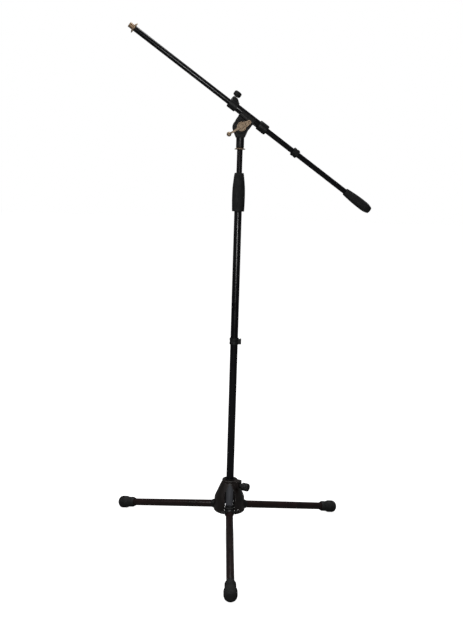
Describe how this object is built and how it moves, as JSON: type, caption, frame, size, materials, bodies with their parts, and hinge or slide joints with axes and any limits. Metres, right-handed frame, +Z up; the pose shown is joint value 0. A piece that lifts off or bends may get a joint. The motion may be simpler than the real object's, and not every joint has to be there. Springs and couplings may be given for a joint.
{
  "type": "boom microphone stand",
  "caption": "Free-standing microphone stand: folding tripod base, telescopic pole with a twist clutch, and a tilting, sliding boom with a rubber-gripped counterweight.",
  "frame": {"origin": "on the floor, under the middle of the whole stand's footprint", "axes": "+Z up the pole; the first leg points along -Y (turned 1.5 degrees) and the boom's tip points to -X and slightly -Y"},
  "size_m": [0.6888, 0.567, 1.353],
  "materials": {
    "black_paint": "glossy black enamel on steel tube",
    "leg_paint": "semi-gloss black enamel on steel tube",
    "cast_hub": "satin dark grey-brown coating on a casting",
    "cast_black": "satin black coating on a casting",
    "black_plastic": "moulded black nylon, fine texture",
    "black_rubber": "textured matt black rubber",
    "nickel": "satin nickel plate",
    "steel": "zinc-plated steel",
    "nylon": "natural nylon",
    "brass": "turned brass",
    "fibre": "vulcanised fibre"
  },
  "bodies": {
    "base": {"base_hub": "cast_hub", "mast_bushing": "black_plastic", "base_clamp_pad": "brass", "leg_1_pin": "steel", "leg_2_pin": "steel", "leg_3_pin": "steel"},
    "base_knob": {"base_lock_screw": "steel", "base_lock_knob": "black_plastic"},
    "leg_1": {"leg_1_knuckle": "cast_black", "leg_1_tube": "leg_paint", "leg_1_foot": "black_rubber"},
    "leg_2": {"leg_2_knuckle": "cast_black", "leg_2_tube": "leg_paint", "leg_2_foot": "black_rubber"},
    "leg_3": {"leg_3_knuckle": "cast_black", "leg_3_tube": "leg_paint", "leg_3_foot": "black_rubber"},
    "mast": {"lower_tube": "black_paint", "mast_end_plug": "steel", "leg_stop_plate": "steel", "stop_plate_screw": "steel", "pole_cable_clip": "black_plastic", "clutch_body": "black_plastic", "clutch_collet": "nylon"},
    "clutch_grip": {"clutch_grip_core": "black_plastic", "clutch_grip_rubber": "black_rubber"},
    "height_guide": {"upper_tube_guide": "nylon"},
    "upper_mast": {"upper_tube": "black_paint", "upper_tube_stud": "nickel", "swivel_fork": "cast_black", "friction_washer_front": "fibre", "friction_washer_rear": "fibre", "tilt_bolt": "steel", "lever_washer": "steel"},
    "head_ring": {"head_lock_ring": "nickel"},
    "tilt_lever": {"tilt_lever": "nickel"},
    "boom_head": {"boom_cradle": "cast_black", "boom_sleeve": "black_paint", "front_collar": "black_plastic", "rear_collar": "black_plastic", "boom_clamp_pad": "brass"},
    "boom_knob": {"boom_lock_screw": "steel", "boom_lock_knob": "black_plastic"},
    "boom_roll": {"boom_bush_front": "nylon", "boom_bush_rear": "nylon"},
    "boom_rod": {"boom_tube": "black_paint", "boom_tip_stud": "nickel", "boom_cable_clip": "black_plastic", "counterweight_grip": "black_rubber", "counterweight_slug": "steel"},
    "tip_ring": {"boom_tip_ring": "nickel"}
  },
  "joints": [
    {"name": "mast_drop", "type": "slide", "parent": "base", "child": "mast", "axis": [0, 0, 1], "range_m": [-0.022, 0]},
    {"name": "leg_1_fold", "type": "hinge", "parent": "base", "child": "leg_1", "pos_m": [-0.01848, 0.05084, 0.081], "axis": [-0.9997, -0.0262, 0], "range_deg": [0, 100]},
    {"name": "leg_2_fold", "type": "hinge", "parent": "base", "child": "leg_2", "pos_m": [0.00797, 0.09954, 0.081], "axis": [0.5225, -0.8526, 0], "range_deg": [0, 100]},
    {"name": "leg_3_fold", "type": "hinge", "parent": "base", "child": "leg_3", "pos_m": [-0.04744, 0.09809, 0.081], "axis": [0.4772, 0.8788, 0], "range_deg": [0, 100]},
    {"name": "base_knob_turn", "type": "hinge", "parent": "base", "child": "base_knob", "pos_m": [0.01584, 0.06374, 0.143], "axis": [0.8788, -0.4772, 0], "range_deg": [0, 360]},
    {"name": "clutch_twist", "type": "hinge", "parent": "mast", "child": "clutch_grip", "pos_m": [-0.01931, 0.08282, 0.93], "axis": [0, 0, 1], "range_deg": [0, 180]},
    {"name": "height_slide", "type": "slide", "parent": "mast", "child": "height_guide", "axis": [0, 0, 1], "range_m": [-0.055, 0.6]},
    {"name": "mast_swivel", "type": "hinge", "parent": "height_guide", "child": "upper_mast", "pos_m": [-0.01931, 0.08282, 1], "axis": [0, 0, 1], "continuous": true},
    {"name": "head_ring_turn", "type": "hinge", "parent": "upper_mast", "child": "head_ring", "pos_m": [-0.01931, 0.08282, 1.0453], "axis": [0, 0, 1], "range_deg": [0, 360]},
    {"name": "lever_turn", "type": "hinge", "parent": "upper_mast", "child": "tilt_lever", "pos_m": [-0.01931, 0.08282, 1.102], "axis": [-0.1994, 0.9799, 0], "range_deg": [-150, 90]},
    {"name": "boom_tilt", "type": "hinge", "parent": "upper_mast", "child": "boom_head", "pos_m": [-0.01931, 0.08282, 1.102], "axis": [-0.1994, 0.9799, 0], "range_deg": [-119.5, 50]},
    {"name": "boom_knob_turn", "type": "hinge", "parent": "boom_head", "child": "boom_knob", "pos_m": [-0.03221, 0.0802, 1.18348], "axis": [0.555, 0.1129, 0.8241], "range_deg": [0, 360]},
    {"name": "boom_roll", "type": "hinge", "parent": "boom_head", "child": "boom_roll", "pos_m": [-0.00005, 0.08674, 1.1306], "axis": [0.8076, 0.1643, -0.5664], "continuous": true},
    {"name": "boom_slide", "type": "slide", "parent": "boom_roll", "child": "boom_rod", "axis": [0.8076, 0.1643, -0.5664], "range_m": [-0.087, 0.3]},
    {"name": "tip_ring_turn", "type": "hinge", "parent": "boom_rod", "child": "tip_ring", "pos_m": [-0.29886, 0.02595, 1.34017], "axis": [0.8076, 0.1643, -0.5664], "range_deg": [0, 360]}
  ],
  "couplings": [
    {"joint": "leg_1_fold", "follows": "mast_drop", "rad_per_m": -79.33},
    {"joint": "leg_2_fold", "follows": "mast_drop", "rad_per_m": -79.33},
    {"joint": "leg_3_fold", "follows": "mast_drop", "rad_per_m": -79.33}
  ]
}
